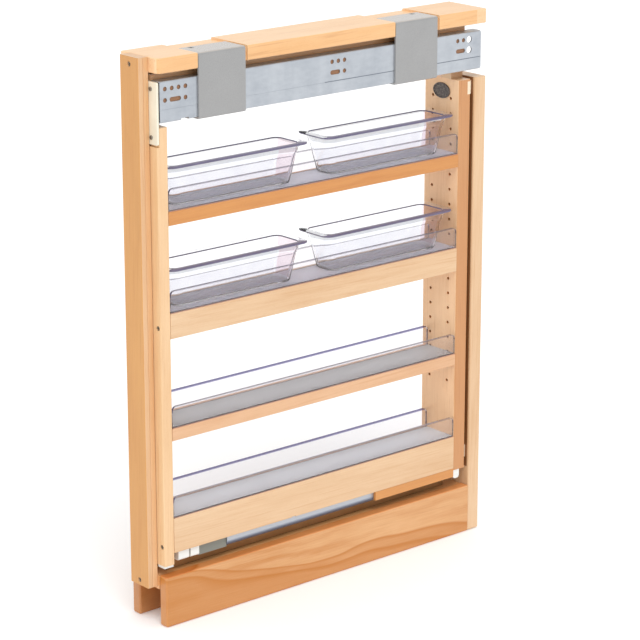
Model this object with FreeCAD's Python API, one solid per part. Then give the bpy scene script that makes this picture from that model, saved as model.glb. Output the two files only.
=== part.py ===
import FreeCAD, Part
import math
import os

# Narrow pull-out pantry for the gap beside a kitchen cabinet, in millimetres, +Z up.
# A fixed C-shaped frame (plinths, bottom board, rear post, top rail) carries a wooden shelf
# rack that slides out of its open front end, towards -Y.
# The origin is on the floor, in the middle of the width (X) and of the depth (Y).
# Places are written as w, the distance from the left face (x = w - WIDTH / 2), and d, the
# distance from the plinths' rear end towards the front (y = PLINTH_REAR_Y - d).

WIDTH = 76.0
DEPTH = 584.0
HEIGHT = 762.0
POST_T = 16.0
PLINTH_REAR_Y = DEPTH / 2 - POST_T
FRONT_D = DEPTH - POST_T

# fixed frame
PLINTH_H = 70.0
PLINTH_T = 16.0
BOTTOM_BOARD_T = 19.0
BOTTOM_BOARD_TOP = PLINTH_H - 1.0
POST_W = 38.0
POST_BOTTOM = 54.0
POST_SCREW_Z = (752.0, 61.0)
POST_SCREW_SUNK = 2.0
RAIL_T = 20.0
RAIL_BOTTOM = HEIGHT - RAIL_T
RAIL_D = 549.0
HEADER_D = (RAIL_D, 566.0)
DADO_DEPTH = 3.0
BRACKET_D = ((64.5, 140.5), (399.0, 475.0))
DADO_D = ((63.5, 144.5), (398.0, 479.0))
BRACKET_T = 2.5
BRACKET_FLANGE_W = 42.0
BRACKET_TOP = HEIGHT - 0.5
BRACKET_SCREW_D = (80.5, 460.5)
BRACKET_SCREW_W = 36.0

# top slide: three steel members, 53 mm tall
SLIDE_D = (4.5, 559.5)
SLIDE_W = BRACKET_T
SLIDE_Z = (679.0, 732.0)
SLIDE_T = 1.6
SLIDE_DEPTH = 16.5
SLIDE_MID_Z = sum(SLIDE_Z) / 2
MIDDLE_D = (18.0, 534.0)
MIDDLE_W = (9.0, 17.0)
MIDDLE_HALF_H = 19.5
INNER_D = (18.0, 536.0)
INNER_W = (12.2, 20.0)
INNER_HALF_H = 14.5
HOLE_ROW_Z = (722.0, 707.6)
HOLE_GROUP_D = (12.8, 288.5, 515.5)
HOLE_PITCH = 10.8
HOLE_R = 3.0
SLIDE_CORNER_R = 3.5
PACKER_T = 2.2
PACKER_D = ((8.0, 62.0), (280.0, 330.0), (508.0, 530.0))
WINDOWS_D = ((6.0, 66.0), (282.0, 334.0), (506.0, 560.0))
OUTER_BALL_R = 2.3
INNER_BALL_R = 1.4
BALL_PITCH = 24.0

# sliding rack
RACK_W = (3.5, 72.5)
REAR_UPRIGHT_D = (0.5, 16.5)
REAR_UPRIGHT_Z = (85.0, 673.0)
FRONT_UPRIGHT_D = (520.5, 542.0)
FRONT_UPRIGHT_Z = (98.0, 666.0)
PANEL_D = (547.0, FRONT_D)
PANEL_Z = (1.0, 668.0)
SPACER_Z = ((645.0, 663.0), (112.0, 130.0))
SPACER_W = (8.0, 68.0)
SPACER_LET_IN = 5.5
PANEL_DOWEL_W = (18.0, 58.0)
PANEL_DOWEL_Z = (654.0, 121.0)
PANEL_DOWEL_REACH = 10.0
HANGER_D = (4.5, 545.0)
HANGER_W = (20.0, 39.0)
HANGER_Z = (684.0, 738.0)
HANGER_SCREW_D = (10.5, 531.0)
HANGER_SCREW_R = 2.5
HANGER_SCREW_BOTTOM = 630.0
STOP_PLATE_D = (0.2, 3.2)
STOP_PLATE_W = (3.5, 36.0)
STOP_PLATE_Z = (651.0, 731.0)
STOP_SCREW_W = 15.5
STOP_SCREW_Z = (722.0, 660.0)
SHELF_D = (REAR_UPRIGHT_D[1], FRONT_UPRIGHT_D[0])
PIN_PITCH = 21.5
PIN_TOP_Z = 638.9
PIN_ROWS = 20
PIN_W = (20.0, 56.0)
PIN_R = 2.2
PIN_DEPTH = 9.0
PIN_SLOT = 0.3
SHELF_SCREW_W = (9.5, 66.5)
SHELF_SCREW_Z = (411.0, 111.0)
BADGE_Z = 648.0
BADGE_HALF = (16.5, 11.0)
BADGE_BORDER = 1.7

# each shelf: underside and top, and whether its edges are strips deeper than its board
SHELVES = {
    "top_shelf": (544.5, 562.5, False),
    "second_shelf": (394.5, 428.0, True),
    "third_shelf": (256.0, 272.6, False),
    "bottom_shelf": (100.5, 148.5, True),
}
BOARD_T = 14.0
STRIP_T = 12.0
STRIP_NICK_D = (217.5, 225.0)
EASE = 0.8
LINER_T = 1.5
RAIL_H = 30.0
RAIL_THICK = 3.0
RAIL_W = {"left": 4.5, "right": 60.5}
RAIL_GROOVE = 1.0
RAIL_ROUND = 7.0
RAIL_END_GAP = 1.5

# clear bins
BIN_RIM = (235.5, 67.0)
BIN_WALL_TOP = (221.0, 53.0)
BIN_BASE = (197.0, 37.0)
BIN_H = 55.0
BIN_T = 2.0
BIN_RIM_T = 2.4
BIN_STEP_DROP = 15.0
BIN_STEP = 1.0
BIN_CORNER_R = 11.0
BIN_START_D = (18.4, 281.8)
BIN_SEAT_GAP = 0.1

# bottom runner: three nested channels
RUNNER_T = 1.5
BASE_D = (20.0, 522.0)
BASE_HALF_W = 11.0
BASE_TOP = 79.0
RUN_MIDDLE_D = (30.0, 510.0)
RUN_MIDDLE_HALF_W = 14.0
RUN_MIDDLE_Z = (71.5, 83.0)
COVER_D = (109.0, 520.0)
COVER_HALF_W = 29.5
COVER_Z = (84.0, 100.5)
RIB_HALF_W = 6.0
RIB_BOTTOM = 83.4
SKIRT_ROUND = 9.0
TAIL_DROP = 0.5
TAIL_START_D = 61.0
SOFT_CLOSE_D = ((26.0, 43.5), (46.5, 60.5))
SIDE_STRIP_START_D = 371.0

MID_W = WIDTH / 2


def slab(w, d, z):
    """A box between two widths w, two depths d and two heights z."""
    corner = FreeCAD.Vector(w[0] - MID_W, PLINTH_REAR_Y - d[1], z[0])
    return Part.makeBox(w[1] - w[0], d[1] - d[0], z[1] - z[0], corner)


def peg(r, length, w, d, z, along):
    """A cylinder from a point: along is 'front' (+d), 'rear' (-d), 'right' (+w), 'up' or 'down'."""
    ways = {"front": (0, -1, 0), "rear": (0, 1, 0), "right": (1, 0, 0), "up": (0, 0, 1), "down": (0, 0, -1)}
    start = FreeCAD.Vector(w - MID_W, PLINTH_REAR_Y - d, z)
    return Part.makeCylinder(r, length, start, FreeCAD.Vector(*ways[along]))


def eased(shape, r, axis, keep=lambda point: True):
    """Round the edges that run along an axis and whose middle point keep() accepts."""
    index = "xyz".index(axis)
    edges = []
    for edge in shape.Edges:
        if len(edge.Vertexes) != 2:
            continue
        run = edge.Vertexes[1].Point - edge.Vertexes[0].Point
        if abs(run[index]) < 0.999 * run.Length:
            continue
        if keep(edge.valueAt((edge.FirstParameter + edge.LastParameter) / 2)):
            edges.append(edge)
    return shape.makeFillet(r, edges)


def section(points, d):
    """A closed outline of (w, z) points, pushed from depth d[0] to d[1]."""
    corners = [FreeCAD.Vector(w - MID_W, PLINTH_REAR_Y - d[0], z) for w, z in points]
    face = Part.Face(Part.makePolygon(corners + corners[:1]))
    return face.extrude(FreeCAD.Vector(0, d[0] - d[1], 0))


def united(shapes):
    whole = shapes[0]
    for shape in shapes[1:]:
        whole = whole.fuse(shape)
    return whole.removeSplitter()


def save(name, *shapes):
    solids = [solid for shape in shapes for solid in shape.Solids]
    for solid in solids:
        if not solid.isValid():
            raise ValueError(name + " holds a broken solid")
    part = solids[0] if len(solids) == 1 else Part.makeCompound(solids)
    part.exportStep("parts/" + name + ".step")


def wood_screw(w, d, z, along, head_r=3.4, shank_r=2.0, length=34.0):
    """A countersunk screw whose head starts at the point."""
    head = peg(head_r, 2.0, w, d, z, along)
    shank = peg(shank_r, length, w, d, z, along)
    recess = peg(head_r * 0.45, 1.0, w, d, z, along)
    return head.fuse(shank).removeSplitter().cut(recess)


def screw_hole(w, d, z, along, head_r=3.4, shank_r=2.0, length=34.0, sunk=2.0):
    """The counterbore and pilot hole that wood_screw needs, sunk below the surface at the point."""
    bore = peg(head_r + 0.05, sunk + 2.0, w, d, z, along)
    pilot = peg(shank_r + 0.05, sunk + length, w, d, z, along)
    return bore.fuse(pilot)


# --- fixed frame -------------------------------------------------------------------------


def make_plinths():
    front = PANEL_D[0] - 0.5
    for name, w0 in (("left_plinth", 0.0), ("right_plinth", WIDTH - PLINTH_T)):
        board = slab((w0, w0 + PLINTH_T), (0.0, front), (0.0, PLINTH_H))
        rear = PLINTH_REAR_Y - 1.0
        board = eased(board, 3.0, "z", lambda p: p.y > rear)
        save(name, eased(board, 2.0, "y"))


def make_bottom_board():
    span = (PLINTH_T, WIDTH - PLINTH_T)
    top = BOTTOM_BOARD_TOP
    board = slab(span, (0.0, PANEL_D[0] - 0.5), (top - BOTTOM_BOARD_T, top))
    board = board.cut(screw_hole(MID_W, -POST_T, POST_SCREW_Z[1], "front", sunk=POST_SCREW_SUNK))
    save("bottom_board", board)


def make_rear_post():
    """Two thin boards face to face, so that the edge shows the joint between them."""
    w = ((WIDTH - POST_W) / 2, (WIDTH + POST_W) / 2)
    z = (POST_BOTTOM, HEIGHT)
    for name, d in (("rear_post_outer", (-POST_T, -POST_T / 2)), ("rear_post_inner", (-POST_T / 2, 0.0))):
        board = eased(slab(w, d, z), 1.0, "z")
        for hole_z in POST_SCREW_Z:
            board = board.cut(screw_hole(MID_W, -POST_T, hole_z, "front", sunk=POST_SCREW_SUNK))
        save(name, board)
    screws = [wood_screw(MID_W, -POST_T + POST_SCREW_SUNK, z, "front") for z in POST_SCREW_Z]
    save("post_screws", *screws)


def make_top_rail():
    board = slab((0.0, WIDTH), (0.0, RAIL_D), (RAIL_BOTTOM, HEIGHT))
    rear = PLINTH_REAR_Y - 1.0
    board = eased(board, 8.0, "z", lambda p: p.y > rear and p.x < 0)
    board = eased(board, 2.0, "y")
    for d in DADO_D:
        board = board.cut(slab((-1.0, WIDTH + 1.0), d, (HEIGHT - DADO_DEPTH, HEIGHT + 1.0)))
        board = board.cut(slab((-1.0, DADO_DEPTH), d, (RAIL_BOTTOM - 1.0, HEIGHT + 1.0)))
    board = board.cut(screw_hole(MID_W, -POST_T, POST_SCREW_Z[0], "front", sunk=POST_SCREW_SUNK))
    for d in BRACKET_SCREW_D:
        board = board.cut(peg(2.05, 17.0, BRACKET_SCREW_W, d, HEIGHT, "down"))
    save("top_rail", board)
    header = slab((0.0, WIDTH), HEADER_D, (RAIL_BOTTOM, HEIGHT))
    save("front_header", eased(header, 2.0, "y"))


def make_brackets():
    """A strap of bent sheet: over the rail, down its left edge, and a lip under the slide."""
    lip_z = SLIDE_Z[0] - BRACKET_T
    lip_w = SLIDE_W + SLIDE_DEPTH
    screws = []
    for name, d, screw_d in zip(("rear_bracket", "front_bracket"), BRACKET_D, BRACKET_SCREW_D):
        outside = slab((0.0, BRACKET_FLANGE_W), d, (lip_z, BRACKET_TOP))
        inside = slab((BRACKET_T, WIDTH), d, (SLIDE_Z[0], BRACKET_TOP - BRACKET_T))
        beyond = slab((lip_w, WIDTH), d, (lip_z, SLIDE_Z[0]))
        strap = outside.cut(inside).cut(beyond).removeSplitter()
        left = -MID_W + 0.1
        strap = eased(strap, 3.5, "y", lambda p: p.x < left and p.z > BRACKET_TOP - 1)
        strap = eased(strap, 3.0, "y", lambda p: p.x < left and p.z < lip_z + 1)
        cone = Part.makeCone(2.1, 4.3, 2.2, FreeCAD.Vector(BRACKET_SCREW_W - MID_W, PLINTH_REAR_Y - screw_d,
                                                           BRACKET_TOP - 2.2))
        strap = strap.cut(cone).cut(peg(2.1, 6.0, BRACKET_SCREW_W, screw_d, BRACKET_TOP, "down"))
        save(name, strap)
        head = Part.makeCone(2.0, 4.1, 2.1, FreeCAD.Vector(BRACKET_SCREW_W - MID_W, PLINTH_REAR_Y - screw_d,
                                                           BRACKET_TOP - 2.2))
        shank = peg(2.0, 14.0, BRACKET_SCREW_W, screw_d, BRACKET_TOP - 2.0, "down")
        slot = peg(1.7, 1.2, BRACKET_SCREW_W, screw_d, BRACKET_TOP + 0.2, "down")
        screws.append(head.fuse(shank).removeSplitter().cut(slot))
    save("bracket_screws", *screws)


def slot_cut(w, d, z, r, length):
    """A slot through a web: two round ends of radius r, the whole this long, centred at d."""
    half = length / 2 - r
    ends = [peg(r, 6.0, w, d + side, z, "right") for side in (-half, half)]
    return united(ends + [slab((w, w + 6.0), (d - half, d + half), (z - r, z + r))])


def web_corners():
    """What rounding takes off the four corners of the fixed member's web."""
    r = SLIDE_CORNER_R
    start = SLIDE_W - 1.0
    pieces = []
    for d, ahead in ((SLIDE_D[0], 1), (SLIDE_D[1], -1)):
        for z, inward in ((SLIDE_Z[0], 1), (SLIDE_Z[1], -1)):
            square = slab((start, SLIDE_W + SLIDE_T), sorted((d - ahead, d + ahead * r)),
                          sorted((z - inward, z + inward * r)))
            pieces.append(square.cut(peg(r, 5.0, start, d + ahead * r, z + inward * r, "right")))
    return pieces


def make_slide_outer():
    """The fixed member: a channel open to the right, with turned lips and three hole groups."""
    w0 = SLIDE_W
    w1 = SLIDE_W + SLIDE_DEPTH
    low, high = SLIDE_Z
    t = SLIDE_T
    lip = 5.5
    outline = [(w0, low), (w1, low), (w1, low + lip), (w1 - t, low + lip), (w1 - t, low + t),
               (w0 + t, low + t), (w0 + t, high - t), (w1 - t, high - t), (w1 - t, high - lip),
               (w1, high - lip), (w1, high), (w0, high)]
    member = section(outline, SLIDE_D)
    left = -MID_W + w0 + 0.1
    member = eased(member, 1.5, "y", lambda p: p.x < left)
    upper, lower = HOLE_ROW_Z
    start = w0 - 2.0
    first, middle, front = HOLE_GROUP_D
    cuts = [peg(HOLE_R, 6.0, start, first + i * HOLE_PITCH, upper, "right") for i in range(4)]
    cuts += [peg(HOLE_R, 6.0, start, first + i * HOLE_PITCH, lower, "right") for i in (0, 3)]
    cuts.append(slot_cut(start, first + 1.5 * HOLE_PITCH, lower, HOLE_R, 18.0))
    cuts += [peg(HOLE_R, 6.0, start, middle + i * HOLE_PITCH, upper, "right") for i in range(3)]
    cuts.append(peg(HOLE_R, 6.0, start, middle + 2 * HOLE_PITCH, lower, "right"))
    cuts.append(slot_cut(start, middle + 0.5 * HOLE_PITCH, lower, HOLE_R, 17.0))
    cuts += [peg(HOLE_R, 6.0, start, front + i * HOLE_PITCH, upper, "right") for i in range(2)]
    cuts += [peg(4.8, 6.0, start, front + 2 * HOLE_PITCH, z, "right") for z in (upper, lower)]
    cuts.append(slot_cut(start, front + 0.5 * HOLE_PITCH, lower, HOLE_R, 17.0))
    crease_z = SLIDE_Z[1] - 0.68 * (high - low)
    cuts.append(slab((w0 - 1.0, w0 + 0.35), SLIDE_D, (crease_z - 0.5, crease_z + 0.5)))
    cuts.append(slab((w0 - 1.0, w0 + 9.0), (38.0, 50.0), (low - 1.0, low + 2.6)))
    for cut in cuts + web_corners():
        member = member.cut(cut)
    save("slide_outer", member)
    packer_w = (w0 + t, w0 + t + PACKER_T)
    save("slide_packers", *[slab(packer_w, d, (lower - 6.0, upper + 6.0)) for d in PACKER_D])


def channel(d, w_web, w_open, half_h, t, windows):
    """A slide member: a web with two flanges, and oblong windows through the web."""
    z0 = SLIDE_MID_Z
    low, high = z0 - half_h, z0 + half_h
    web_in = w_web + math.copysign(t, w_open - w_web)
    outline = [(w_web, low), (w_open, low), (w_open, low + t), (web_in, low + t), (web_in, high - t),
               (w_open, high - t), (w_open, high), (w_web, high)]
    member = section(outline, d)
    web = (min(w_web, web_in) - 1.0, max(w_web, web_in) + 1.0)
    for window in windows:
        member = member.cut(slab(web, window, (HOLE_ROW_Z[1] - 8.0, HOLE_ROW_Z[0] + 2.0)))
    return member.Solids[0]


def make_slide_moving():
    t = SLIDE_T
    save("slide_middle", channel(MIDDLE_D, MIDDLE_W[0], MIDDLE_W[1], MIDDLE_HALF_H, t, WINDOWS_D[:2]))
    save("slide_inner", channel(INNER_D, INNER_W[1], INNER_W[0], INNER_HALF_H, t, WINDOWS_D[:2]))


def ball_cage(d, w, gap_low, gap_high, ball_r):
    """Balls in a strip above and below the slide's middle height, between two flanges."""
    solids = []
    middle = (gap_low + gap_high) / 2
    count = int((d[1] - d[0] - 10.0) // BALL_PITCH) + 1
    for side in (-1, 1):
        z = SLIDE_MID_Z + side * middle
        strip = slab((w - ball_r - 1.2, w + ball_r + 1.2), d, (z - 0.4, z + 0.4))
        for i in range(count):
            at = d[0] + 5.0 + i * BALL_PITCH
            strip = strip.cut(peg(ball_r + 0.15, 2.0, w, at, z - 1.0, "up"))
            solids.append(Part.makeSphere(ball_r, FreeCAD.Vector(w - MID_W, PLINTH_REAR_Y - at, z)))
        solids.append(strip)
    return solids


def make_ball_cages():
    outer_gap = (MIDDLE_HALF_H, (SLIDE_Z[1] - SLIDE_Z[0]) / 2 - SLIDE_T)
    inner_gap = (INNER_HALF_H, MIDDLE_HALF_H - SLIDE_T)
    save("outer_ball_cage", *ball_cage((255.0, 425.0), 12.5, *outer_gap, OUTER_BALL_R))
    save("inner_ball_cage", *ball_cage((155.0, 325.0), 14.6, *inner_gap, INNER_BALL_R))


def make_stop_plate():
    """A plastic plate behind the slide's rear end; its lower part stops the rack's rear board."""
    plate = slab(STOP_PLATE_W, STOP_PLATE_D, STOP_PLATE_Z)
    plate = eased(plate, 2.0, "y")
    boss = slab((10.0, 17.0), (STOP_PLATE_D[1], 12.0), (716.0, 728.0))
    plate = plate.fuse(boss).removeSplitter()
    screws = []
    for z, length in zip(STOP_SCREW_Z, (9.0, STOP_PLATE_D[1] - STOP_PLATE_D[0])):
        d = STOP_PLATE_D[0]
        plate = plate.cut(peg(1.85, length + 0.1, STOP_SCREW_W, d - 0.1, z, "front"))
        head = eased_head(STOP_SCREW_W, d, z)
        screws.append(head.fuse(peg(1.8, length - 0.05, STOP_SCREW_W, d, z, "front")).removeSplitter())
    save("rear_stop_plate", plate)
    save("stop_plate_screws", *screws)


def eased_head(w, d, z):
    """A low domed screw head standing rearward from the point, with a cross recess."""
    head = peg(2.9, 1.2, w, d, z, "rear")
    back = PLINTH_REAR_Y - d + 1.1
    rims = [e for e in head.Edges if e.BoundBox.YMin > back]
    head = head.makeFillet(0.7, rims)
    for half in ((0.35, 1.6), (1.6, 0.35)):
        head = head.cut(slab((w - half[0], w + half[0]), (d - 1.5, d - 0.7), (z - half[1], z + half[1])))
    return head


# --- bottom runner -----------------------------------------------------------------------


def make_runner():
    """Fixed base, coupled middle, and the rack's own cover with rolled skirts and a rib."""
    t = RUNNER_T
    floor = BOTTOM_BOARD_TOP
    c = MID_W
    b = BASE_HALF_W
    base = slab((c - b, c + b), BASE_D, (floor, BASE_TOP))
    base = base.cut(slab((c - b + t, c + b - t), BASE_D, (floor + t, BASE_TOP + 1.0)))
    save("runner_base", base)
    m = RUN_MIDDLE_HALF_W
    low, high = RUN_MIDDLE_Z
    middle = slab((c - m, c + m), RUN_MIDDLE_D, RUN_MIDDLE_Z)
    save("runner_middle", middle.cut(slab((c - m + t, c + m - t), RUN_MIDDLE_D, (low - 1.0, high - t))))
    h = COVER_HALF_W
    top = COVER_Z[1]
    r = SKIRT_ROUND
    skirt = slab((c - h, c + h), COVER_D, COVER_Z)
    skirt = eased(skirt, r, "y", lambda p: p.z < COVER_Z[0] + 1)
    hollow = slab((c - h + t, c + h - t), COVER_D, (COVER_Z[0] + t, top - t))
    hollow = eased(hollow, r - t, "y", lambda p: p.z < COVER_Z[0] + t + 1)
    mouth = slab((c - h + r + 3.0, c + h - r - 3.0), COVER_D, (COVER_Z[0] - 1.0, top - t))
    rib = slab((c - RIB_HALF_W, c + RIB_HALF_W), COVER_D, (RIB_BOTTOM, top - t))
    save("runner_cover", united([skirt.cut(hollow).cut(mouth), rib]))


def runner_tail():
    """An open-bottomed channel that closes the gap behind the runner's cover."""
    top = COVER_Z[1]
    half = COVER_HALF_W - 2.0
    inside = half - RUNNER_T
    tail = slab((MID_W - half, MID_W + half), (TAIL_START_D, COVER_D[0]), (COVER_Z[0] + TAIL_DROP, top))
    within = (TAIL_START_D - 1.0, COVER_D[0] + 1.0)
    return tail.cut(slab((MID_W - inside, MID_W + inside), within, (0.0, top - RUNNER_T)))


def make_runner_fittings():
    """White plastic pieces on the rack's underside, and the wooden strip beside the runner."""
    c = MID_W
    h = COVER_HALF_W
    blocks = [runner_tail()]
    for d in SOFT_CLOSE_D:
        block = slab((c - h - 1.0, c + h + 1.0), d, (COVER_Z[0] + 2.0, COVER_Z[1]))
        blocks.append(eased(block, 3.0, "y", lambda p: p.z < COVER_Z[0] + 3))
    save("soft_close_unit", *blocks)
    strip = []
    for w in ((RACK_W[0], c - h - 0.5), (c + h + 0.5, RACK_W[1])):
        strip.append(slab(w, (SIDE_STRIP_START_D, SHELF_D[1]), (88.0, COVER_Z[1])))
    save("runner_side_strips", *strip)
    pads = [slab(w, (1.0, 15.5), (81.5, REAR_UPRIGHT_Z[0])) for w in ((5.0, 19.0), (57.0, 71.0))]
    save("rear_glides", *pads)
    catches = []
    for w in ((5.0, 20.0), (56.0, 71.0)):
        block = slab(w, (521.5, 533.0), (84.5, FRONT_UPRIGHT_Z[0]))
        catches.append(eased(block, 4.0, "x", lambda p: p.z < 85.0))
    save("front_catches", *catches)


# --- sliding rack ------------------------------------------------------------------------


def pin_holes(d, along):
    holes = []
    for row in range(PIN_ROWS):
        for w in PIN_W:
            holes.append(peg(PIN_R, PIN_DEPTH, w, d, PIN_TOP_Z - row * PIN_PITCH, along))
    return holes


def shelf_screw_places():
    """Width and height of each screw that holds the two fixed shelves' edge strips."""
    return [(w, z) for w in SHELF_SCREW_W for z in SHELF_SCREW_Z]


def make_uprights():
    rear = slab(RACK_W, REAR_UPRIGHT_D, REAR_UPRIGHT_Z)
    rear = eased(rear, 1.5, "z")
    gap = STOP_PLATE_D[1] + 0.5
    rebate = slab((0.0, WIDTH), (REAR_UPRIGHT_D[0] - 1.0, gap), (STOP_PLATE_Z[0] - 3.0, 700.0))
    rear = rear.cut(rebate)
    front = slab(RACK_W, FRONT_UPRIGHT_D, FRONT_UPRIGHT_Z)
    front = eased(front, 1.5, "z")
    for hole in pin_holes(REAR_UPRIGHT_D[1], "rear"):
        rear = rear.cut(hole)
    for hole in pin_holes(FRONT_UPRIGHT_D[0], "front"):
        front = front.cut(hole)
    sunk = 1.5
    screws = []
    for w, z in shelf_screw_places():
        rear = rear.cut(screw_hole(w, REAR_UPRIGHT_D[0], z, "front", sunk=sunk))
        front = front.cut(screw_hole(w, FRONT_UPRIGHT_D[1], z, "rear", sunk=sunk))
        screws.append(wood_screw(w, REAR_UPRIGHT_D[0] + sunk, z, "front"))
        screws.append(wood_screw(w, FRONT_UPRIGHT_D[1] - sunk, z, "rear"))
    for w in PANEL_DOWEL_W:
        for z in PANEL_DOWEL_Z:
            start = FRONT_UPRIGHT_D[1] - PANEL_DOWEL_REACH
            front = front.cut(peg(4.0, PANEL_DOWEL_REACH + 2.0, w, start, z, "front"))
    front = front.cut(spacer_slab(SPACER_Z[0], 1.0))
    hanger_pilot = hanger_screw_cut()
    save("rear_upright", rear.cut(hanger_pilot))
    save("front_upright", front.cut(hanger_pilot))
    save("shelf_screws", *screws)


def spacer_slab(z, over):
    """A strip let into the front upright's front face, grown by over on its free sides."""
    d = (FRONT_UPRIGHT_D[1] - SPACER_LET_IN, FRONT_UPRIGHT_D[1] + over)
    return slab((RACK_W[0] - over, RACK_W[1] + over), d, z)


def make_front_panel():
    panel = slab((0.0, WIDTH), PANEL_D, PANEL_Z)
    panel = eased(panel, 2.0, "z")
    panel = panel.makeFillet(1.0, [e for e in panel.Edges if e.BoundBox.ZLength < 0.01])
    spacers = [spacer_slab(SPACER_Z[0], 0.0)]
    spacers += [slab(SPACER_W, (FRONT_UPRIGHT_D[1], PANEL_D[0]), z) for z in SPACER_Z]
    dowels = []
    start = FRONT_UPRIGHT_D[1] - PANEL_DOWEL_REACH
    length = PANEL_D[0] + PANEL_DOWEL_REACH - start
    for w in PANEL_DOWEL_W:
        for z in PANEL_DOWEL_Z:
            hole = peg(4.0, length, w, start, z, "front")
            dowels.append(peg(3.95, length, w, start, z, "front"))
            panel = panel.cut(hole)
            spacers = [spacer.cut(hole) for spacer in spacers]
    save("front_panel", panel)
    save("panel_spacers", *spacers)
    save("panel_dowels", *dowels)


def hanger_screw_cut():
    """The two long screws' bores, each with a wider one for the head."""
    holes = []
    for d in HANGER_SCREW_D:
        w = sum(HANGER_W) / 2
        length = HANGER_Z[1] - HANGER_SCREW_BOTTOM
        holes.append(peg(HANGER_SCREW_R + 0.05, length + 1.0, w, d, HANGER_Z[1] + 1.0, "down"))
        holes.append(peg(5.05, 7.0, w, d, HANGER_Z[1] + 1.0, "down"))
    return united(holes)


def make_hanger():
    """The board that the slide's inner member carries, with a foot on each upright."""
    board = eased(slab(HANGER_W, HANGER_D, HANGER_Z), EASE, "y", lambda p: p.z > HANGER_Z[1] - 1)
    rear_foot = slab(HANGER_W, (HANGER_D[0], REAR_UPRIGHT_D[1]), (REAR_UPRIGHT_Z[1], HANGER_Z[0]))
    front_foot = slab(HANGER_W, (FRONT_UPRIGHT_D[0], FRONT_UPRIGHT_D[1]), (FRONT_UPRIGHT_Z[1], HANGER_Z[0]))
    board = united([board, rear_foot, front_foot])
    save("hanger_board", board.cut(hanger_screw_cut()))
    screws = []
    for d in HANGER_SCREW_D:
        w = sum(HANGER_W) / 2
        top = HANGER_Z[1] - 1.0
        head = peg(5.0, 5.0, w, d, top, "down")
        shank = peg(HANGER_SCREW_R, top - HANGER_SCREW_BOTTOM, w, d, top, "down")
        recess = peg(2.0, 2.0, w, d, top, "down")
        screws.append(head.fuse(shank).removeSplitter().cut(recess))
    save("hanger_screws", *screws)


def rail_outline(top, side):
    """Clear guard rail beside a shelf: a thin upright sheet with two rounded upper corners."""
    w0 = RAIL_W[side]
    d = (SHELF_D[0] + RAIL_END_GAP, SHELF_D[1] - 0.5)
    sheet = slab((w0, w0 + RAIL_THICK), d, (top - RAIL_GROOVE, top + RAIL_H))
    return eased(sheet, RAIL_ROUND, "x", lambda p: p.z > top)


def make_shelves():
    for name, (low, high, deep) in SHELVES.items():
        rails = {side: rail_outline(high, side) for side in ("left", "right")}
        grooves = []
        for w in RAIL_W.values():
            grooves.append(slab((w, w + RAIL_THICK), SHELF_D, (high - RAIL_GROOVE, high + 1.0)))
        board_low = high - BOARD_T if deep else low
        board_w = (RACK_W[0] + STRIP_T, RACK_W[1] - STRIP_T) if deep else RACK_W
        board = eased(slab(board_w, SHELF_D, (board_low, high)), EASE, "y")
        strips = []
        if deep:
            strips = [slab((RACK_W[0], board_w[0]), SHELF_D, (low, high)),
                      slab((board_w[1], RACK_W[1]), SHELF_D, (low, high))]
            strips = [eased(strip, EASE, "y") for strip in strips]
        liner_w = (RAIL_W["left"] + RAIL_THICK, RAIL_W["right"])
        liner = slab(liner_w, SHELF_D, (high, high + LINER_T))
        for w, z in shelf_screw_places():
            for start, along in ((REAR_UPRIGHT_D[0], "front"), (FRONT_UPRIGHT_D[1], "rear")):
                hole = peg(2.05, 40.0, w, start, z, along)
                board = board.cut(hole)
                strips = [strip.cut(hole) for strip in strips]
        for groove in grooves:
            board = board.cut(groove)
            strips = [strip.cut(groove) for strip in strips]
        if not deep:
            for pin in shelf_pins(low, high, PIN_SLOT):
                board = board.cut(pin)
        if name == "bottom_shelf":
            strips[0] = strips[0].cut(slab((0.0, 6.0), STRIP_NICK_D, (low - 1.0, low + 1.5)))
        save(name, board)
        for side, strip in zip(("left", "right"), strips):
            save(name + "_" + side + "_strip", strip)
        save(name + "_liner", liner)
        for side, rail in rails.items():
            save(name + "_" + side + "_rail", rail)


def pin_row(low, high):
    """Height of the pin holes that carry an adjustable shelf: the first row below its top."""
    steps = math.ceil((PIN_TOP_Z - high + 4.0) / PIN_PITCH)
    return PIN_TOP_Z - steps * PIN_PITCH


def shelf_pins(low, high, extra):
    """Steel pins at both ends of an adjustable shelf, each with a seat on top, grown by extra."""
    row = pin_row(low, high)
    pins = []
    for w in PIN_W:
        for face, into, back, out in ((SHELF_D[0], "rear", "front", 1), (SHELF_D[1], "front", "rear", -1)):
            stem = peg(PIN_R - 0.05, 8.0, w, face, row, into)
            arm = peg(PIN_R - 0.05 + extra, 7.0 + extra, w, face, row, back)
            reach = sorted((face, face + out * (7.0 + extra)))
            seat_top = max(low, row + PIN_R + extra)
            half = PIN_R - 0.1 + extra
            seat = slab((w - half, w + half), reach, (min(row, low) - extra, seat_top))
            pins.append(united([stem, arm, seat]))
    return pins


def make_shelf_pins():
    adjustable = [(low, high) for low, high, deep in SHELVES.values() if not deep]
    save("shelf_pins", *[pin for low, high in adjustable for pin in shelf_pins(low, high, 0.0)])


def oval(inset, start, depth):
    """An oval slab, inset from the badge's edge, start to start + depth off the front upright."""
    centre = FreeCAD.Vector(0, PLINTH_REAR_Y - FRONT_UPRIGHT_D[0] + start, BADGE_Z)
    rim = Part.Ellipse(centre, BADGE_HALF[0] - inset, BADGE_HALF[1] - inset)
    rim.rotate(FreeCAD.Placement(centre, FreeCAD.Rotation(FreeCAD.Vector(1, 0, 0), 90)))
    return Part.Face(Part.Wire([rim.toShape()])).extrude(FreeCAD.Vector(0, depth, 0))


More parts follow.
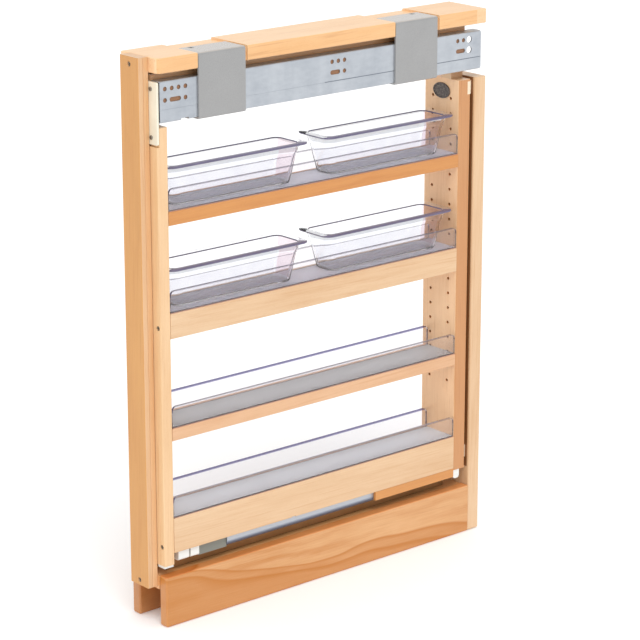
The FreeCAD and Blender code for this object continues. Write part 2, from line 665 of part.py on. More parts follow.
def make_badge():
    """A plain oval plate with a raised border."""
    plate = oval(0.0, 0.0, 1.8)
    face_y = PLINTH_REAR_Y - FRONT_UPRIGHT_D[0] + 1.7
    plate = plate.makeFillet(0.6, [e for e in plate.Edges if e.BoundBox.YMin > face_y])
    save("badge", plate.cut(oval(BADGE_BORDER, 1.2, 2.0)))


# --- bins --------------------------------------------------------------------------------


def rounded_frame(size, z, start_d, r):
    """A wire: a rounded rectangle size[0] deep and size[1] wide, centred on the bin."""
    x = size[1] / 2
    mid_y = PLINTH_REAR_Y - start_d - BIN_RIM[0] / 2
    y = size[0] / 2
    k = r * (1 - math.sqrt(0.5))

    def at(px, py):
        return FreeCAD.Vector(px, mid_y + py, z)

    edges = []
    for sx, sy in ((1, 1), (-1, 1), (-1, -1), (1, -1)):
        first, second = at(sx * x, sy * (y - r)), at(sx * (x - r), sy * y)
        if sx * sy < 0:
            first, second = second, first
        edges.append(Part.Arc(first, at(sx * (x - k), sy * (y - k)), second).toShape())
    joined = []
    for i, arc in enumerate(edges):
        joined.append(arc)
        end = arc.Vertexes[-1].Point
        following = edges[(i + 1) % 4].Vertexes[0].Point
        joined.append(Part.makeLine(end, following))
    return Part.Wire(joined)


def loft(rings):
    return Part.makeLoft(rings, True, True)


def make_bin(name, start_d, floor_z):
    """Tapered tray: a flared rim, a step below it, sloping walls and a flat base."""
    top = floor_z + BIN_H
    step_z = top - BIN_STEP_DROP
    share = BIN_STEP_DROP / BIN_H

    def at_step(inset):
        return [a + (b - a) * share - 2 * inset for a, b in zip(BIN_WALL_TOP, BIN_BASE)]

    def ring(size, z, inset, r):
        return rounded_frame([s - 2 * inset for s in size], z, start_d, r - inset)

    r = BIN_CORNER_R
    t = BIN_T
    lower = loft([ring(BIN_BASE, floor_z, 0, r), ring(at_step(BIN_STEP), step_z, 0, r)])
    upper = loft([ring(at_step(0), step_z, 0, r), ring(BIN_WALL_TOP, top, 0, r)])
    rim = Part.Face(ring(BIN_RIM, top - BIN_RIM_T, 0, r + 2)).extrude(FreeCAD.Vector(0, 0, BIN_RIM_T))
    floor_top = floor_z + t
    share_floor = t / (BIN_H - BIN_STEP_DROP)
    floor_size = [a + (b - a) * share_floor for a, b in zip(BIN_BASE, at_step(BIN_STEP))]
    inner_low = loft([ring(floor_size, floor_top, t, r), ring(at_step(BIN_STEP), step_z, t, r)])
    inner_high = loft([ring(at_step(BIN_STEP), step_z, t, r), ring(BIN_WALL_TOP, top, t, r)])
    shell = united([lower, upper, rim]).cut(inner_low).cut(inner_high)
    save(name, shell.removeSplitter())


def make_bins():
    for shelf in ("top_shelf", "second_shelf"):
        floor_z = SHELVES[shelf][1] + LINER_T + BIN_SEAT_GAP
        for place, start_d in zip(("rear", "front"), BIN_START_D):
            make_bin(shelf.split("_")[0] + "_" + place + "_bin", start_d, floor_z)


os.makedirs("parts", exist_ok=True)
make_plinths()
make_bottom_board()
make_rear_post()
make_top_rail()
make_brackets()
make_slide_outer()
make_slide_moving()
make_ball_cages()
make_stop_plate()
make_runner()
make_runner_fittings()
make_uprights()
make_front_panel()
make_hanger()
make_shelves()
make_shelf_pins()
make_badge()
make_bins()
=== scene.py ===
import bpy
import bmesh
import math
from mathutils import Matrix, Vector


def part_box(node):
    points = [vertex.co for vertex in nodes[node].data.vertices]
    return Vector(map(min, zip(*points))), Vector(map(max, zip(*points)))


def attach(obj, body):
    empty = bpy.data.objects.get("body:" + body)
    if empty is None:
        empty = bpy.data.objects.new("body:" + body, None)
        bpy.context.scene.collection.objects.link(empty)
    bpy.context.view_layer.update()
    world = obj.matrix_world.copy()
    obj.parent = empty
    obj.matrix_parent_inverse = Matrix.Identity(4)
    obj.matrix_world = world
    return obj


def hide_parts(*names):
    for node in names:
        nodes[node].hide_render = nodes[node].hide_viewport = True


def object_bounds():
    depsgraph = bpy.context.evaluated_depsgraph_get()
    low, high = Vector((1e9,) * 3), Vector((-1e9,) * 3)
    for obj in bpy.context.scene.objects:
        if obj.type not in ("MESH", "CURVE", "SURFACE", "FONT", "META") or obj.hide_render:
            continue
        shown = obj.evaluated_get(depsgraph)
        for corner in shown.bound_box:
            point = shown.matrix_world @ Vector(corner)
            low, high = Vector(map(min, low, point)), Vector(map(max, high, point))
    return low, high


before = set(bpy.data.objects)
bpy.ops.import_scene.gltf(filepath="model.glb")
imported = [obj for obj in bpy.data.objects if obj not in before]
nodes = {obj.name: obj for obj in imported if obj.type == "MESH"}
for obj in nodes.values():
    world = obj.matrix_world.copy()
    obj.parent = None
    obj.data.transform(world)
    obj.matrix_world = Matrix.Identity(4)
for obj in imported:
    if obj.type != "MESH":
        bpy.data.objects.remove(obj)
cad_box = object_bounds()
scene = bpy.context.scene


# --- materials ---------------------------------------------------------------------------


def linear(red, green, blue):
    """A colour named in the usual 0-255 scale, as shader values."""
    channels = (red, green, blue)
    return tuple(((c / 255 + 0.055) / 1.055) ** 2.4 if c > 10 else c / 3295 for c in channels) + (1.0,)


class Tree:
    """Short ways to add and join shader nodes in one material."""

    def __init__(self, name):
        self.material = bpy.data.materials.new(name)
        self.material.use_nodes = True
        self.nodes = self.material.node_tree.nodes
        self.links = self.material.node_tree.links
        self.shader = self.nodes["Principled BSDF"]
        self.place = self.add("ShaderNodeTexCoord").outputs["Object"]

    def add(self, kind, **settings):
        node = self.nodes.new(kind)
        for key, value in settings.items():
            setattr(node, key, value)
        return node

    def join(self, output, socket):
        self.links.new(output, socket)

    def mapped(self, source, scale, offset=(0, 0, 0), turn=(0, 0, 0)):
        node = self.add("ShaderNodeMapping")
        node.inputs["Location"].default_value = offset
        node.inputs["Rotation"].default_value = turn
        node.inputs["Scale"].default_value = scale
        self.join(source, node.inputs["Vector"])
        return node.outputs["Vector"]

    def noise(self, source, scale, detail=3.0, roughness=0.55, distortion=0.0):
        node = self.add("ShaderNodeTexNoise")
        node.inputs["Scale"].default_value = scale
        node.inputs["Detail"].default_value = detail
        node.inputs["Roughness"].default_value = roughness
        node.inputs["Distortion"].default_value = distortion
        self.join(source, node.inputs["Vector"])
        return node

    def ramp(self, source, *stops):
        node = self.add("ShaderNodeValToRGB")
        elements = node.color_ramp.elements
        while len(elements) < len(stops):
            elements.new(0.5)
        for element, (at, colour) in zip(elements, stops):
            element.position = at
            element.color = colour if isinstance(colour, tuple) else (colour, colour, colour, 1.0)
        self.join(source, node.inputs["Fac"])
        return node.outputs["Color"]

    def math(self, operation, first, second):
        node = self.add("ShaderNodeMath", operation=operation)
        for socket, value in zip(node.inputs, (first, second)):
            if isinstance(value, (int, float)):
                socket.default_value = value
            else:
                self.join(value, socket)
        return node.outputs["Value"]

    def mix(self, fac, first, second, blend="MIX"):
        node = self.add("ShaderNodeMix", data_type="RGBA", blend_type=blend)
        for key, value in (("Factor", fac), ("A", first), ("B", second)):
            socket = node.inputs[key]
            if isinstance(value, (int, float, tuple)):
                socket.default_value = value
            else:
                self.join(value, socket)
        return node.outputs["Result"]

    def split(self, vector):
        """The X, Y and Z of a vector."""
        node = self.add("ShaderNodeSeparateXYZ")
        self.join(vector, node.inputs["Vector"])
        return node.outputs

    def facing(self):
        """The X, Y and Z of the way that a face looks."""
        return self.split(self.add("ShaderNodeNewGeometry").outputs["True Normal"])

    def tint(self, share, colour, shade):
        """The colour, multiplied by a shade as far as share goes."""
        return self.mix(share, colour, self.mix(1.0, colour, shade + (1.0,), "MULTIPLY"))

    def inside(self, low, high):
        """1 inside a box given in the object's own metres, 0 outside it."""
        place = self.split(self.place)
        share = 1.0
        for axis, start, end in zip("XYZ", low, high):
            for operation, limit in (("GREATER_THAN", start), ("LESS_THAN", end)):
                share = self.math("MULTIPLY", self.math(operation, place[axis], limit), share)
        return share

    def bump(self, height, distance, strength=1.0):
        node = self.add("ShaderNodeBump")
        node.inputs["Distance"].default_value = distance
        node.inputs["Strength"].default_value = strength
        self.join(height, node.inputs["Height"])
        self.join(node.outputs["Normal"], self.shader.inputs["Normal"])

    def set(self, **values):
        for key, value in values.items():
            self.shader.inputs[key.replace("_", " ")].default_value = value
        return self.material


def along(axis, fine, coarse):
    """A scale that is coarse along the grain axis and fine across it."""
    return tuple(coarse if axis == name else fine for name in "xyz")


def maple(name, axis, seed, light=(230, 196, 157), dark=(205, 158, 110), figure=0.16, heart=0.30,
          pitch=22.0, sides=None, deep=None, shaded=None):
    """Lacquered maple: soft growth bands, long fibres, short ray flecks and slow colour drift.

    Side tints paint light and shade on the faces that look along an axis, as the light falls on them; deep
    is a darker wavy band below that height;
    shaded is a box, with its tone, of painted shade, dark because it lies in a narrow gap.
    """
    t = Tree(name)
    offset = tuple(heart * math.cos(seed * 1.7 + k * 2.1) for k in range(3))
    turn = tuple(0.03 * math.sin(seed * 2.3 + k) for k in range(3))
    placed = t.mapped(t.place, (1, 1, 1), offset, turn)
    slow = t.noise(t.mapped(placed, along(axis, 11, 2.6)), 1.0, 2.0)
    warp = t.add("ShaderNodeVectorMath", operation="SCALE")
    t.join(slow.outputs["Color"], warp.inputs["Vector"])
    warp.inputs["Scale"].default_value = 0.06
    bent = t.add("ShaderNodeVectorMath", operation="ADD")
    t.join(placed, bent.inputs[0])
    t.join(warp.outputs["Vector"], bent.inputs[1])
    rings = t.add("ShaderNodeTexWave", wave_type="RINGS", rings_direction=axis.upper())
    rings.inputs["Scale"].default_value = pitch
    rings.inputs["Distortion"].default_value = 2.0
    rings.inputs["Detail"].default_value = 3.0
    rings.inputs["Detail Scale"].default_value = 1.2
    t.join(bent.outputs["Vector"], rings.inputs["Vector"])
    patch = t.noise(t.mapped(placed, along(axis, 30, 5)), 1.0, 2.0)
    ring = t.math("MULTIPLY", t.ramp(rings.outputs["Fac"], (0.35, 0.0), (0.95, 1.0)),
                  t.ramp(patch.outputs["Fac"], (0.35, 0.15), (0.65, 1.0)))
    fibre = t.noise(t.mapped(placed, along(axis, 700, 11)), 1.0, 5.0, 0.7)
    fleck = t.noise(t.mapped(placed, along(axis, 2200, 210)), 1.0, 1.0)
    drift = t.noise(t.mapped(placed, along(axis, 17, 4.0)), 1.0, 3.0, 0.6)
    fibres = t.ramp(fibre.outputs["Fac"], (0.38, 0.0), (0.66, 1.0))
    clouds = t.ramp(drift.outputs["Fac"], (0.3, 0.0), (0.7, 1.0))
    share = t.math("MULTIPLY", ring, figure)
    share = t.math("ADD", share, t.math("MULTIPLY", fibres, 0.20))
    share = t.math("ADD", share, t.math("MULTIPLY", clouds, 0.42))
    colour = t.mix(share, linear(*light), linear(*dark))
    spots = t.ramp(fleck.outputs["Fac"], (0.60, 0.0), (0.74, 0.14))
    colour = t.mix(spots, colour, linear(172, 112, 66))
    streak = t.noise(t.mapped(placed, along(axis, 380, 6.0)), 1.0, 3.0, 0.6)
    streaks = t.ramp(streak.outputs["Fac"], (0.56, 0.0), (0.74, 0.34))
    colour = t.mix(streaks, colour, linear(190, 124, 64))
    if deep:
        place = t.split(t.place)
        wave = t.noise(t.mapped(t.place, along(axis, 10, 3.4)), 1.0, 1.5, 0.4, 0.4)
        level = t.math("SUBTRACT", t.math("DIVIDE", place["Z"], deep),
                       t.math("MULTIPLY", wave.outputs["Fac"], 2.6))
        level = t.math("SUBTRACT", level, t.math("MULTIPLY", place["Y"], 1.8))
        band = t.ramp(t.math("ADD", level, 0.95), (0.0, 0.60), (0.18, 0.92), (0.25, 0.42), (0.42, 0.55),
                      (0.50, 0.88), (0.55, 0.10), (0.80, 0.0))
        colour = t.mix(band, colour, linear(*dark))
    # Painted light and shade: faces that look along an axis take a lighter or darker tint.
    if sides:
        facing = t.facing()
        for side, shade in sides.items():
            flat = t.math("ABSOLUTE", facing[side], 0.0)
            colour = t.tint(t.math("GREATER_THAN", flat, 0.5), colour, shade)
    # Painted shade: the colour inside the box is darkened.
    if shaded:
        low, high, tone = shaded
        colour = t.tint(t.inside(low, high), colour, tone)
    t.join(colour, t.shader.inputs["Base Color"])
    rough = t.ramp(fibre.outputs["Fac"], (0.2, 0.34), (0.8, 0.48))
    t.join(rough, t.shader.inputs["Roughness"])
    t.bump(fibre.outputs["Fac"], 0.00005)
    return t.set(Coat_Weight=0.35, Coat_Roughness=0.25, Specular_IOR_Level=0.5)


def zinc(name, crease=None):
    """Zinc-plated rolled steel: faint clouds, drawing lines, and painted shade along a crease at one height.
    """
    t = Tree(name)
    spangle = t.noise(t.mapped(t.place, (160, 60, 160)), 1.0, 2.0)
    cloud = t.noise(t.mapped(t.place, (10, 26, 10)), 1.0, 4.0)
    lines = t.noise(t.mapped(t.place, (1500, 12, 1500)), 1.0, 3.0)
    share = t.math("ADD", t.math("MULTIPLY", spangle.outputs["Fac"], 0.3),
                   t.math("MULTIPLY", cloud.outputs["Fac"], 0.7))
    tone = t.ramp(share, (0.3, linear(168, 174, 182)), (0.7, linear(197, 202, 208)))
    if crease:
        # Painted shade: a 1.2 mm band along the crease is darkened.
        crease_shade = t.inside((-0.1, -0.3, crease - 0.0006), (0.1, 0.0, crease + 0.0006))
        tone = t.mix(crease_shade, tone, linear(132, 138, 148))
    t.join(tone, t.shader.inputs["Base Color"])
    t.join(t.ramp(cloud.outputs["Fac"], (0.3, 0.30), (0.7, 0.42)), t.shader.inputs["Roughness"])
    t.bump(lines.outputs["Fac"], 0.00003)
    return t.set(Metallic=0.85)


def plain(name, colour, roughness, grain=2500.0, depth=0.00002, metallic=0.0, spread=6, top=None):
    """Paint or moulded plastic: one colour that drifts a little, over a fine surface grain.

    A separate colour for the faces that look upwards paints light on them, where it differs.
    """
    t = Tree(name)
    drift = t.noise(t.place, 30.0, 3.0)
    low = linear(*(c - spread for c in colour))
    high = linear(*(min(255, c + spread) for c in colour))
    tone = t.ramp(drift.outputs["Fac"], (0.3, low), (0.7, high))
    # Painted light: faces that look upwards take their own lighter colour.
    if top:
        tone = t.mix(t.math("GREATER_THAN", t.facing()["Z"], 0.8), tone, linear(*top))
    t.join(tone, t.shader.inputs["Base Color"])
    texture = t.noise(t.place, grain, 2.0)
    rough = t.ramp(texture.outputs["Fac"], (0.3, roughness - 0.05), (0.7, roughness + 0.05))
    t.join(rough, t.shader.inputs["Roughness"])
    t.bump(texture.outputs["Fac"], depth)
    return t.set(Metallic=metallic)


def cast(name, low, high):
    """Cast metal: a rough pitted skin with worn high spots."""
    t = Tree(name)
    pits = t.noise(t.place, 420.0, 5.0, 0.7)
    tone = t.ramp(pits.outputs["Fac"], (0.40, linear(*low)), (0.66, linear(*high)))
    t.join(tone, t.shader.inputs["Base Color"])
    t.join(t.ramp(pits.outputs["Fac"], (0.3, 0.55), (0.7, 0.32)), t.shader.inputs["Roughness"])
    t.bump(pits.outputs["Fac"], 0.0008)
    return t.set(Metallic=0.4)


def rolled(name, node):
    """Zinc-plated cover with painted light: pale above, painted shade down its rolled skirt, and a painted
    highlight on its lower lip.
    """
    t = Tree(name)
    low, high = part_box(node)
    height = t.math("DIVIDE", t.math("SUBTRACT", t.split(t.place)["Z"], low[2]), high[2] - low[2])
    lines = t.noise(t.mapped(t.place, (1500, 12, 1500)), 1.0, 3.0)
    # Painted light by height: a highlight at the lip, shade on the skirt, pale above.
    tone = t.ramp(height, (0.02, linear(226, 226, 230)), (0.07, linear(86, 98, 118)),
                  (0.42, linear(112, 124, 144)), (0.60, linear(186, 194, 204)), (1.0, linear(198, 204, 212)))
    t.join(tone, t.shader.inputs["Base Color"])
    t.join(t.ramp(lines.outputs["Fac"], (0.3, 0.30), (0.7, 0.42)), t.shader.inputs["Roughness"])
    t.bump(lines.outputs["Fac"], 0.00003)
    return t.set(Metallic=0.35)


def two_tone(name, behind, ahead, split):
    """Moulded plastic in two colours that meet at one place along the slide."""
    t = Tree(name)
    tone = t.mix(t.math("LESS_THAN", t.split(t.place)["Y"], split), linear(*behind), linear(*ahead))
    t.join(tone, t.shader.inputs["Base Color"])
    texture = t.noise(t.place, 2500.0, 2.0)
    t.join(t.ramp(texture.outputs["Fac"], (0.3, 0.38), (0.7, 0.48)), t.shader.inputs["Roughness"])
    t.bump(texture.outputs["Fac"], 0.00002)
    return t.material


def clear(name, body, edge, ior, brim=None):
    """Clear plastic. A sheet's narrow faces, and its face above brim, take the edge colour, a painted
    reflection band.

    brim is a share of the sheet's height. A sheet's foot, in its groove, lets little light through and is
    painted a pinkish brown that stands in for the lit groove seen through it, and its two upper corners get
    a painted dark reflection.
    """
    t = Tree(name)
    haze = t.noise(t.place, 40.0, 2.0)
    t.join(t.ramp(haze.outputs["Fac"], (0.3, 0.03), (0.7, 0.06)), t.shader.inputs["Roughness"])
    if brim:
        facing = t.facing()
        height = t.split(t.nodes["Texture Coordinate"].outputs["Generated"])["Z"]
        # Painted reflection: the narrow faces and the band above brim take the edge colour.
        sheet_face = t.math("GREATER_THAN", t.math("ABSOLUTE", facing["X"], 0.0), 0.7)
        open_share = t.math("MULTIPLY", sheet_face, t.math("LESS_THAN", height, brim))
        # Painted light: the foot in its groove is an opaque pinkish brown standing in for the lit groove
        # seen through it.
        foot = t.math("LESS_THAN", height, 0.075)
        tone = t.mix(open_share, linear(*edge), linear(*body))
        # Painted dark reflection on the sheet's two upper corners.
        end_face = t.math("GREATER_THAN", t.math("ABSOLUTE", facing["Y"], 0.0), 0.5)
        corner = t.math("MULTIPLY", end_face, t.math("GREATER_THAN", height, 0.72))
        tone = t.mix(corner, tone, linear(92, 76, 112))
        t.join(t.mix(foot, tone, linear(188, 150, 140)), t.shader.inputs["Base Color"])
        share = t.ramp(open_share, (0.0, 0.85), (1.0, 0.95))
        t.join(t.mix(foot, share, (0.1, 0.1, 0.1, 1.0)), t.shader.inputs["Transmission Weight"])
    else:
        tone = t.ramp(haze.outputs["Fac"], (0.2, linear(*edge)), (0.6, linear(*body)))
        t.join(tone, t.shader.inputs["Base Color"])
        t.set(Transmission_Weight=1.0)
    return t.set(IOR=ior)


# --- finishes of the CAD nodes -------------------------------------------------------------

BOARDS = {
    "top_rail": "y", "front_header": "x", "rear_post_outer": "z", "rear_post_inner": "z",
    "left_plinth": "y", "right_plinth": "y", "bottom_board": "y",
    "rear_upright": "z", "front_upright": "z", "front_panel": "z", "hanger_board": "y",
    "top_shelf": "y", "second_shelf": "y", "third_shelf": "y", "bottom_shelf": "y",
    "second_shelf_left_strip": "y", "second_shelf_right_strip": "y",
    "bottom_shelf_left_strip": "y", "bottom_shelf_right_strip": "y",
    "runner_side_strips": "y", "panel_dowels": "y", "slide_packers": "y",
}
ORANGE = dict(light=(216, 150, 80), dark=(190, 116, 48))
PANEL_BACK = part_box("front_panel")[1][1]
GAP_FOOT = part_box("front_upright")[0][2]
# Painted shade: a dark brown box on the front panel's rear face, in the narrow gap by the front upright.
PANEL_GAP_SHADE = ((-0.0345, PANEL_BACK - 0.0005, GAP_FOOT), (0.0345, PANEL_BACK + 0.0005, 0.70),
             (0.34, 0.22, 0.13))
# Among these board colours, the per-side tints are painted light and shade; front_upright's paler colours
# also paint light on its shaded inner face, and slide_packers' darker wood paints the shade behind the
# slide's holes.
SPECIAL = {
    "left_plinth": dict(light=(226, 177, 125), dark=(188, 112, 20), figure=0.30, pitch=14.0, deep=0.045,
                        sides={"Z": (1.05, 0.80, 0.62), "Y": (1.05, 1.05, 1.1)}),
    "right_plinth": dict(light=(204, 140, 82), dark=(172, 104, 46)),
    "rear_post_outer": dict(light=(228, 188, 146), dark=(208, 162, 114),
                            sides={"Y": (0.88, 0.66, 0.30)}),
    "rear_post_inner": dict(light=(232, 188, 142), dark=(210, 158, 106)),
    "rear_upright": dict(light=(240, 204, 160), dark=(218, 170, 118), sides={"Y": (1.03, 1.05, 1.05)}),
    "front_header": dict(light=(246, 204, 158), dark=(226, 174, 122)),
    "front_upright": dict(light=(250, 208, 164), dark=(232, 182, 132), sides={"X": (0.64, 0.46, 0.30)}),
    "top_rail": dict(light=(252, 214, 170), dark=(236, 186, 132), sides={"X": (0.90, 0.79, 0.63)}),
    "third_shelf": dict(light=(228, 184, 144), dark=(204, 148, 100)),
    "slide_packers": dict(light=(156, 108, 70), dark=(122, 80, 48)),
    "hanger_board": dict(sides={"X": (0.76, 0.66, 0.58)}),
    "front_panel": dict(shaded=PANEL_GAP_SHADE),
    "bottom_board": dict(light=(234, 178, 120), dark=(206, 146, 88)),
    "runner_side_strips": ORANGE,
    "top_shelf": ORANGE,
}
finishes = {}
for number, (node, axis) in enumerate(BOARDS.items()):
    finishes[node] = maple("maple_" + node, axis, number + 1.0, **SPECIAL.get(node, {}))

ZINC = zinc("zinc_steel")
# Grey-painted straps; the warmer, lighter colour of their upward faces is painted light.
STRAP = plain("grey_paint", (149, 149, 149), 0.28, grain=1800.0, depth=0.00003, spread=2,
              top=(176, 168, 160))
strap_shader = STRAP.node_tree.nodes["Principled BSDF"]
strap_shader.inputs["Coat Weight"].default_value = 1.0
strap_shader.inputs["Coat Roughness"].default_value = 0.25
STEEL = plain("screw_steel", (150, 148, 144), 0.3, metallic=0.9)
LINER = plain("grey_vinyl", (176, 179, 182), 0.5, grain=900.0, depth=0.0001, spread=3)
# Painted light: paler copies of the same grey vinyl, for the liners of the two upper shelves and of the
# bottom shelf.
UPPER_LINER_LIT = plain("grey_vinyl_lit_upper", (208, 210, 224), 0.5, grain=900.0, depth=0.0001, spread=3)
LOW_LINER_LIT = plain("grey_vinyl_lit_bottom", (202, 210, 218), 0.5, grain=900.0, depth=0.0001, spread=3)
IVORY = plain("ivory_plastic", (240, 234, 214), 0.4)
CREAM = plain("cream_plastic", (242, 222, 194), 0.4)
WHITE = plain("white_plastic", (236, 236, 232), 0.4)
TAIL_START_Y = 0.2153
UNIT = two_tone("white_and_grey_plastic", (236, 236, 232), (130, 132, 124), TAIL_START_Y)
DARK = cast("dark_cast_plate", (70, 64, 62), (132, 122, 116))
# The rails' clear sheets; the far rails' copy has a darker, bluer edge band: painted shade.
SHEET = clear("clear_sheet", (250, 248, 250), (186, 182, 190), ior=1.12, brim=0.95)
FAR_SHEET_SHADED = clear("clear_far_sheet_shaded", (250, 249, 251), (138, 134, 172), ior=1.12, brim=0.92)
# Painted shade: the runner's base and middle member take a dull brown that stands in for the shade under the
# pull-out.
RUNNER_SHADE_BROWN = plain("steel_painted_shade_brown", (150, 112, 70), 0.4, metallic=0.5)
COVER_PAINTED_LIGHT = rolled("zinc_cover_painted_light", "runner_cover")
# The slide's web gets painted shade along its crease.
slide_low, slide_high = (corner[2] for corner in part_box("slide_outer"))
WEB = zinc("zinc_web", crease=slide_high - 0.68 * (slide_high - slide_low))
finishes.update({
    "slide_outer": WEB, "slide_middle": ZINC, "slide_inner": ZINC, "outer_ball_cage": ZINC,
    "inner_ball_cage": ZINC, "runner_base": RUNNER_SHADE_BROWN, "runner_middle": RUNNER_SHADE_BROWN, "runner_cover": COVER_PAINTED_LIGHT,
    "rear_bracket": STRAP, "front_bracket": STRAP,
    "post_screws": STEEL, "bracket_screws": STEEL, "stop_plate_screws": STEEL, "shelf_screws": STEEL,
    "hanger_screws": STEEL, "shelf_pins": STEEL,
    "rear_stop_plate": IVORY, "panel_spacers": CREAM, "soft_close_unit": UNIT, "rear_glides": WHITE,
    "front_catches": WHITE, "badge": DARK,
})
for node in nodes:
    if node.endswith("_liner"):
        finishes[node] = {"bottom": LOW_LINER_LIT, "third_": LINER}.get(node[:6], UPPER_LINER_LIT)
    if node.endswith("_rail") and node != "top_rail":
        far = node.startswith(("third", "bottom")) and "right" in node
        finishes[node] = FAR_SHEET_SHADED if far else SHEET
for node, finish in finishes.items():
    for held in nodes[node].material_slots:
        held.material = finish


# --- clear bins ----------------------------------------------------------------------------

# Painted light in the bins: the pink of the end walls, the opaque dark purple of the thick rims and the
# bluer, less clear floor stand in for colours that refraction shows in clear plastic.
BIN_CLEAR = clear("bin_clear", (251, 252, 254), (246, 247, 251), ior=1.22)
BIN_END = clear("bin_end", (236, 212, 220), (230, 204, 214), ior=1.22)
BIN_RIM_SHADE = plain("bin_rim_painted_shade", (106, 100, 128), 0.3)
BIN_FLOOR = clear("bin_floor", (232, 232, 250), (222, 222, 246), ior=1.22)
BIN_FLOOR.node_tree.nodes["Principled BSDF"].inputs["Transmission Weight"].default_value = 0.72


CORNER_STEPS = 7
NEAR_STRIP = 0.0085
REAR_STRIP = 0.004
END_WALL = 0.021
LAST_INNER = 6
RIM_BANDS = (7, 8, 9, 10)
REAR_RIM_BANDS = (9, 10)
OUTER_WALL_BANDS = (12, 13, 14)
CLEAR_SLOT, EDGE_SLOT, FLOOR_SLOT, END_SLOT = range(4)


def rounded(half_x, half_y, r, z, centre):
    """Points round a rounded rectangle, anticlockwise."""
    ring = []
    for corner, (sx, sy) in enumerate(((1, 1), (-1, 1), (-1, -1), (1, -1))):
        for k in range(CORNER_STEPS + 1):
            a = math.radians(90 * corner + 90 * k / CORNER_STEPS)
            x = centre[0] + sx * (half_x - r) + r * math.cos(a)
            y = centre[1] + sy * (half_y - r) + r * math.sin(a)
            ring.append(Vector((x, y, z)))
    return ring


def bin_profile(top_x, top_y, height):
    """Rings from the inner floor, up the inner wall, over the rim and down outside.

    Each is its half sizes x and y, its height, its corner radius, and 1 where the wall is thick.
    """
    t = 0.0019
    base_x, base_y = top_x - 0.015, top_y - 0.020
    wall_x, wall_y = top_x - 0.0072, top_y - 0.0082
    step = height - 0.0145
    share = step / height
    mid_x = base_x + (wall_x - base_x) * share
    mid_y = base_y + (wall_y - base_y) * share
    return [
        (base_x - 0.010, base_y - 0.010, t, 0.004, 0),
        (base_x - 0.0045, base_y - 0.0045, t + 0.0003, 0.007, 0),
        (base_x - 0.0022, base_y - 0.0022, t + 0.0024, 0.009, 0),
        (mid_x - 0.0009 - t, mid_y - 0.0009 - t, step - 0.0012, 0.0095, 0),
        (mid_x - t, mid_y - t, step + 0.0004, 0.0100, 0),
        (wall_x - t, wall_y - t, height - 0.0022, 0.0105, 1),
        (wall_x - t + 0.0003, wall_y - t + 0.0003, height - 0.0006, 0.0110, 1),
        (wall_x - t + 0.0010, wall_y - t + 0.0010, height, 0.0112, 0),
        (top_x - 0.0008, top_y - 0.0008, height, 0.0130, 0),
        (top_x, top_y, height - 0.0006, 0.0132, 1),
        (top_x, top_y, height - 0.0019, 0.0132, 1),
        (top_x - 0.0005, top_y - 0.0005, height - 0.0023, 0.0130, 0),
        (wall_x + 0.0005, wall_y + 0.0005, height - 0.0025, 0.0115, 0),
        (mid_x + 0.0001, mid_y + 0.0001, step, 0.0105, 0),
        (mid_x - 0.0009, mid_y - 0.0009, step - 0.0010, 0.0102, 0),
        (base_x + 0.0003, base_y + 0.0003, 0.0032, 0.0095, 0),
        (base_x - 0.0010, base_y - 0.0010, 0.0009, 0.0085, 0),
        (base_x - 0.0032, base_y - 0.0032, 0.0, 0.0070, 0),
        (base_x - 0.011, base_y - 0.011, 0.0, 0.0040, 0),
    ]


def band_slot(at, edge, face, middle, size):
    """The material slot of a face in one band of a bin: most are clear, the thick rim takes a painted dark
    purple and one end wall a painted pink, colours of refraction.
    """
    near = middle.x < NEAR_STRIP - size.x / 2 and at in RIM_BANDS
    rear = middle.y > size.y / 2 - REAR_STRIP and at in REAR_RIM_BANDS
    if near or rear or (edge and at <= LAST_INNER):
        return EDGE_SLOT
    front = abs(face.normal.y) > 0.8 and middle.y < END_WALL - size.y / 2
    return END_SLOT if front and at in OUTER_WALL_BANDS else CLEAR_SLOT


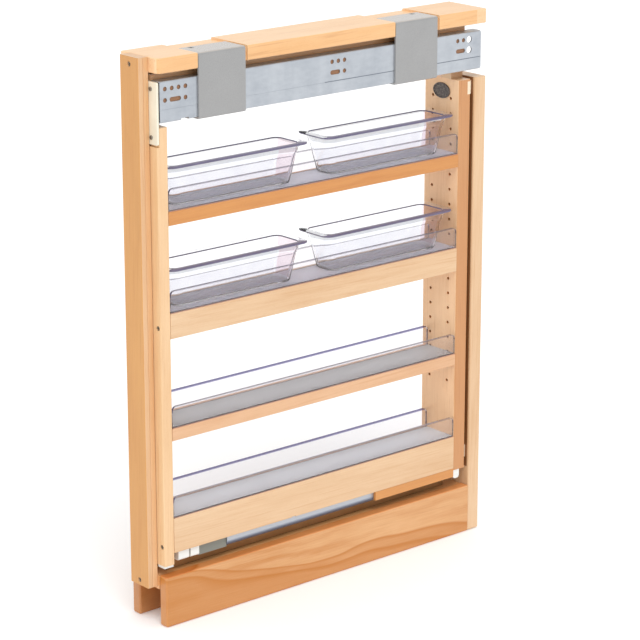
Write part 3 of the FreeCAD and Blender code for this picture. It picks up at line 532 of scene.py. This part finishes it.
def make_bin(node):
    """A clear tray on its CAD box, which it replaces."""
    low, high = (Vector(p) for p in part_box(node))
    centre = (low + high) / 2
    size = high - low
    rings = bin_profile(size.x / 2, size.y / 2, size.z)
    mesh = bpy.data.meshes.new("clear_" + node)
    build = bmesh.new()
    loops = []
    for half_x, half_y, z, r, _ in rings:
        loops.append([build.verts.new(p) for p in rounded(half_x, half_y, r, low.z + z, centre)])
    count = len(loops[0])
    for at, (below, above) in enumerate(zip(loops, loops[1:])):
        edge = rings[at][4] and rings[at + 1][4]
        for k in range(count):
            after = (k + 1) % count
            face = build.faces.new((below[k], below[after], above[after], above[k]))
            face.normal_update()
            middle = face.calc_center_median() - centre
            face.material_index = band_slot(at, edge, face, middle, size)
    build.faces.new(loops[0][::-1]).material_index = FLOOR_SLOT
    build.faces.new(loops[-1])
    bmesh.ops.recalc_face_normals(build, faces=build.faces)
    for face in build.faces:
        face.smooth = True
    build.to_mesh(mesh)
    build.free()
    piece = bpy.data.objects.new("clear_" + node, mesh)
    scene.collection.objects.link(piece)
    for finish in (BIN_CLEAR, BIN_RIM_SHADE, BIN_FLOOR, BIN_END):
        mesh.materials.append(finish)
    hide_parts(node)
    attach(piece, node)


for node in nodes:
    if node.endswith("_bin"):
        make_bin(node)


# --- floor, light and camera ---------------------------------------------------------------

FLOOR_REACH = 50.0
FLOOR_DROP = 0.0005
CAMERA_PLACE = (-2.5896, 2.196, 1.3728)
CAMERA_TURN = (73.433, 0.0, -130.579)

floor_mesh = bpy.data.meshes.new("floor")
corners = [(FLOOR_REACH * x, FLOOR_REACH * y, 0) for x, y in ((-1, -1), (1, -1), (1, 1), (-1, 1))]
floor_mesh.from_pydata(corners, [], [(0, 1, 2, 3)])
floor = bpy.data.objects.new("floor", floor_mesh)
floor.location.z = cad_box[0][2] - FLOOR_DROP
scene.collection.objects.link(floor)
floor_tree = Tree("pale_floor")
floor_mesh.materials.append(floor_tree.set(Base_Color=(0.93, 0.93, 0.93, 1.0), Roughness=0.9,
                                          Emission_Color=(1.0, 1.0, 1.0, 1.0), Emission_Strength=0.12))

world = bpy.data.worlds.new("studio")
scene.world = world
world.use_nodes = True
world.node_tree.nodes["Background"].inputs["Color"].default_value = (1.0, 1.0, 1.0, 1.0)
world.node_tree.nodes["Background"].inputs["Strength"].default_value = 0.85

KEY_TOWARD = Vector((-0.50, 0.30, 0.85))
key_data = bpy.data.lights.new("key", "SUN")
key_data.energy = 1.2
key_data.angle = math.radians(30)
key = bpy.data.objects.new("key", key_data)
key.rotation_euler = KEY_TOWARD.to_track_quat("Z", "Y").to_euler()
key.location = Vector([(a + b) / 2 for a, b in zip(*cad_box)]) + KEY_TOWARD
scene.collection.objects.link(key)

camera_data = bpy.data.cameras.new("camera")
camera = bpy.data.objects.new("camera", camera_data)
scene.collection.objects.link(camera)
camera_data.lens = 146.64
camera_data.sensor_width = 36.0
camera_data.clip_end = 200.0
camera.location = CAMERA_PLACE
camera.rotation_euler = [math.radians(angle) for angle in CAMERA_TURN]
scene.camera = camera
scene.view_settings.view_transform = "Standard"
